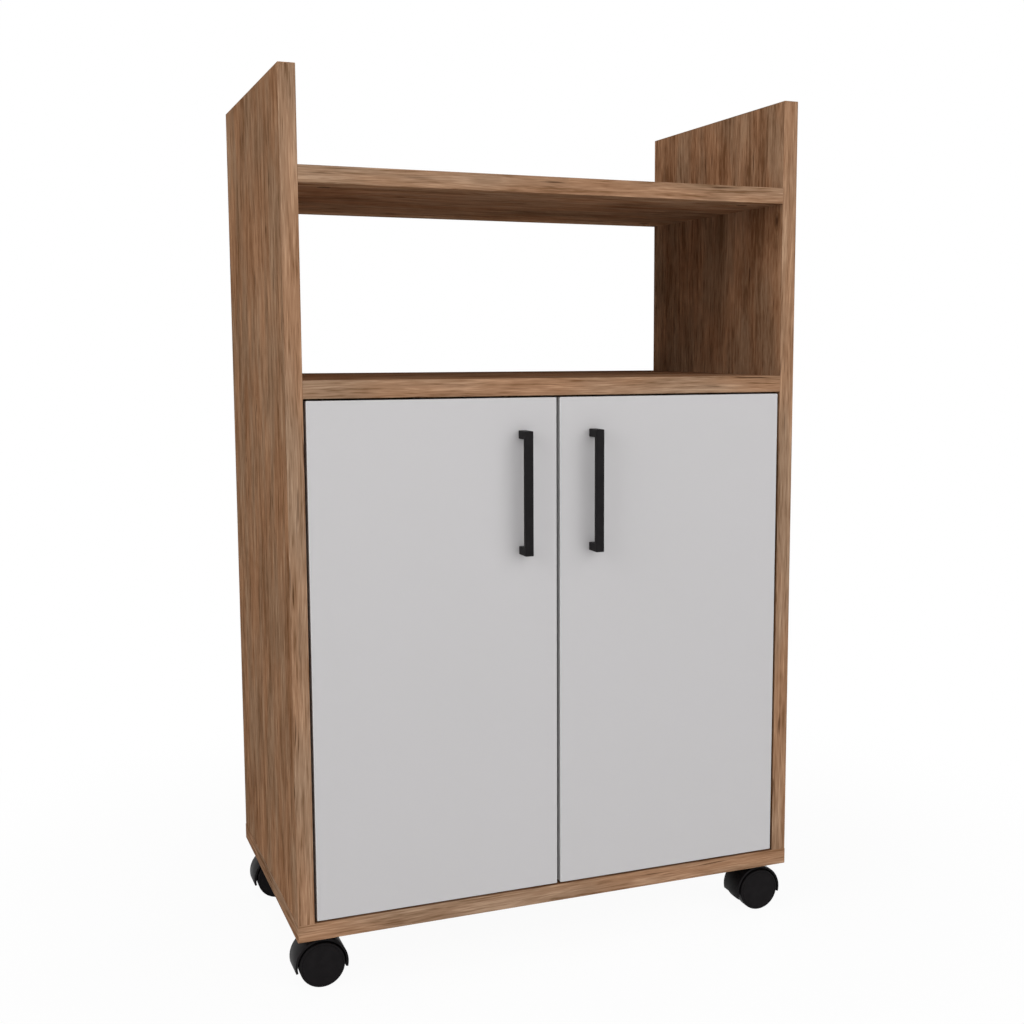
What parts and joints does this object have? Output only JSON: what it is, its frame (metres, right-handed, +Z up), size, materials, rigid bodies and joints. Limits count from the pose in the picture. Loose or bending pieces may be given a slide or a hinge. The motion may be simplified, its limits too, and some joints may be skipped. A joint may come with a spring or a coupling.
{
  "type": "rolling storage cabinet",
  "caption": "Upright cabinet on swivel castors, with a sided tray on top, an open bay below it and a compartment behind two hinged inset doors with bar handles.",
  "frame": {"origin": "on the floor, under the middle of the whole object's width and depth", "axes": "+X to the right seen from the front, +Y to the back, +Z up"},
  "size_m": [0.6024, 0.3696, 0.976],
  "materials": {
    "carcass_board": "warm brown wood grain foil on particle board, satin",
    "shelf_board": "warm brown wood grain foil on particle board, satin",
    "back_board": "thin hardboard, printed brown, matt",
    "beech": "fluted beech",
    "cover_plastic": "brown moulded plastic",
    "door_board": "light grey foil on particle board, satin",
    "handle_metal": "black powder coat, satin",
    "catch_plastic": "grey moulded plastic",
    "castor_plastic": "black nylon, satin",
    "castor_steel": "black zinc plate",
    "strike_steel": "zinc plate",
    "hinge_steel": "nickel plate",
    "zinc_steel": "bright zinc plate"
  },
  "bodies": {
    "root": {"back_panel": "back_board", "bottom_panel": "carcass_board", "cam_bolts": "zinc_steel", "cam_covers": "cover_plastic", "cam_locks": "zinc_steel", "castor_screws": "zinc_steel", "dowels": "beech", "front_left_castor_plate": "castor_steel", "front_right_castor_plate": "castor_steel", "hinge_mounting_plates": "hinge_steel", "hinge_screws": "zinc_steel", "inner_shelf": "shelf_board", "left_lower_hinge_arm": "hinge_steel", "left_side_panel": "carcass_board", "left_upper_hinge_arm": "hinge_steel", "magnetic_catches": "catch_plastic", "middle_panel": "carcass_board", "panel_screws": "zinc_steel", "rear_left_castor_plate": "castor_steel", "rear_right_castor_plate": "castor_steel", "right_lower_hinge_arm": "hinge_steel", "right_side_panel": "carcass_board", "right_upper_hinge_arm": "hinge_steel", "shelf_pins": "zinc_steel", "tray_panel": "carcass_board"},
    "left_door": {"left_door_panel": "door_board", "left_door_handle": "handle_metal", "left_handle_screws": "zinc_steel", "left_upper_hinge_cup": "hinge_steel", "left_lower_hinge_cup": "hinge_steel", "left_hinge_pins": "hinge_steel", "left_strike_plate": "strike_steel", "left_door_screws": "zinc_steel"},
    "right_door": {"right_door_panel": "door_board", "right_door_handle": "handle_metal", "right_handle_screws": "zinc_steel", "right_upper_hinge_cup": "hinge_steel", "right_lower_hinge_cup": "hinge_steel", "right_hinge_pins": "hinge_steel", "right_strike_plate": "strike_steel", "right_door_screws": "zinc_steel"},
    "front_left_castor": {"front_left_castor_fork": "castor_plastic", "front_left_castor_axle": "zinc_steel"},
    "front_left_castor_front_wheel": {"front_left_castor_front_wheel": "castor_plastic"},
    "front_left_castor_back_wheel": {"front_left_castor_back_wheel": "castor_plastic"},
    "front_right_castor": {"front_right_castor_fork": "castor_plastic", "front_right_castor_axle": "zinc_steel"},
    "front_right_castor_front_wheel": {"front_right_castor_front_wheel": "castor_plastic"},
    "front_right_castor_back_wheel": {"front_right_castor_back_wheel": "castor_plastic"},
    "rear_left_castor": {"rear_left_castor_fork": "castor_plastic", "rear_left_castor_axle": "zinc_steel"},
    "rear_left_castor_front_wheel": {"rear_left_castor_front_wheel": "castor_plastic"},
    "rear_left_castor_back_wheel": {"rear_left_castor_back_wheel": "castor_plastic"},
    "rear_right_castor": {"rear_right_castor_fork": "castor_plastic", "rear_right_castor_axle": "zinc_steel"},
    "rear_right_castor_front_wheel": {"rear_right_castor_front_wheel": "castor_plastic"},
    "rear_right_castor_back_wheel": {"rear_right_castor_back_wheel": "castor_plastic"}
  },
  "joints": [
    {"name": "left_door_swing", "type": "hinge", "parent": "root", "child": "left_door", "pos_m": [-0.2557, -0.15475, 0.36], "axis": [0, 0, -1], "range_deg": [0, 95]},
    {"name": "right_door_swing", "type": "hinge", "parent": "root", "child": "right_door", "pos_m": [0.2557, -0.15475, 0.36], "axis": [0, 0, 1], "range_deg": [0, 95]},
    {"name": "front_left_castor_swivel", "type": "hinge", "parent": "root", "child": "front_left_castor", "pos_m": [-0.257, -0.13175, 0.058], "axis": [0, 0, 1], "continuous": true},
    {"name": "front_left_castor_front_wheel_roll", "type": "hinge", "parent": "front_left_castor", "child": "front_left_castor_front_wheel", "pos_m": [-0.272, -0.13175, 0.025], "axis": [0, 1, 0], "continuous": true},
    {"name": "front_left_castor_back_wheel_roll", "type": "hinge", "parent": "front_left_castor", "child": "front_left_castor_back_wheel", "pos_m": [-0.272, -0.13175, 0.025], "axis": [0, 1, 0], "continuous": true},
    {"name": "front_right_castor_swivel", "type": "hinge", "parent": "root", "child": "front_right_castor", "pos_m": [0.257, -0.13175, 0.058], "axis": [0, 0, 1], "continuous": true},
    {"name": "front_right_castor_front_wheel_roll", "type": "hinge", "parent": "front_right_castor", "child": "front_right_castor_front_wheel", "pos_m": [0.272, -0.13175, 0.025], "axis": [0, 1, 0], "continuous": true},
    {"name": "front_right_castor_back_wheel_roll", "type": "hinge", "parent": "front_right_castor", "child": "front_right_castor_back_wheel", "pos_m": [0.272, -0.13175, 0.025], "axis": [0, 1, 0], "continuous": true},
    {"name": "rear_left_castor_swivel", "type": "hinge", "parent": "root", "child": "rear_left_castor", "pos_m": [-0.257, 0.13325, 0.058], "axis": [0, 0, 1], "continuous": true},
    {"name": "rear_left_castor_front_wheel_roll", "type": "hinge", "parent": "rear_left_castor", "child": "rear_left_castor_front_wheel", "pos_m": [-0.272, 0.13325, 0.025], "axis": [0, 1, 0], "continuous": true},
    {"name": "rear_left_castor_back_wheel_roll", "type": "hinge", "parent": "rear_left_castor", "child": "rear_left_castor_back_wheel", "pos_m": [-0.272, 0.13325, 0.025], "axis": [0, 1, 0], "continuous": true},
    {"name": "rear_right_castor_swivel", "type": "hinge", "parent": "root", "child": "rear_right_castor", "pos_m": [0.257, 0.13325, 0.058], "axis": [0, 0, 1], "continuous": true},
    {"name": "rear_right_castor_front_wheel_roll", "type": "hinge", "parent": "rear_right_castor", "child": "rear_right_castor_front_wheel", "pos_m": [0.272, 0.13325, 0.025], "axis": [0, 1, 0], "continuous": true},
    {"name": "rear_right_castor_back_wheel_roll", "type": "hinge", "parent": "rear_right_castor", "child": "rear_right_castor_back_wheel", "pos_m": [0.272, 0.13325, 0.025], "axis": [0, 1, 0], "continuous": true}
  ]
}
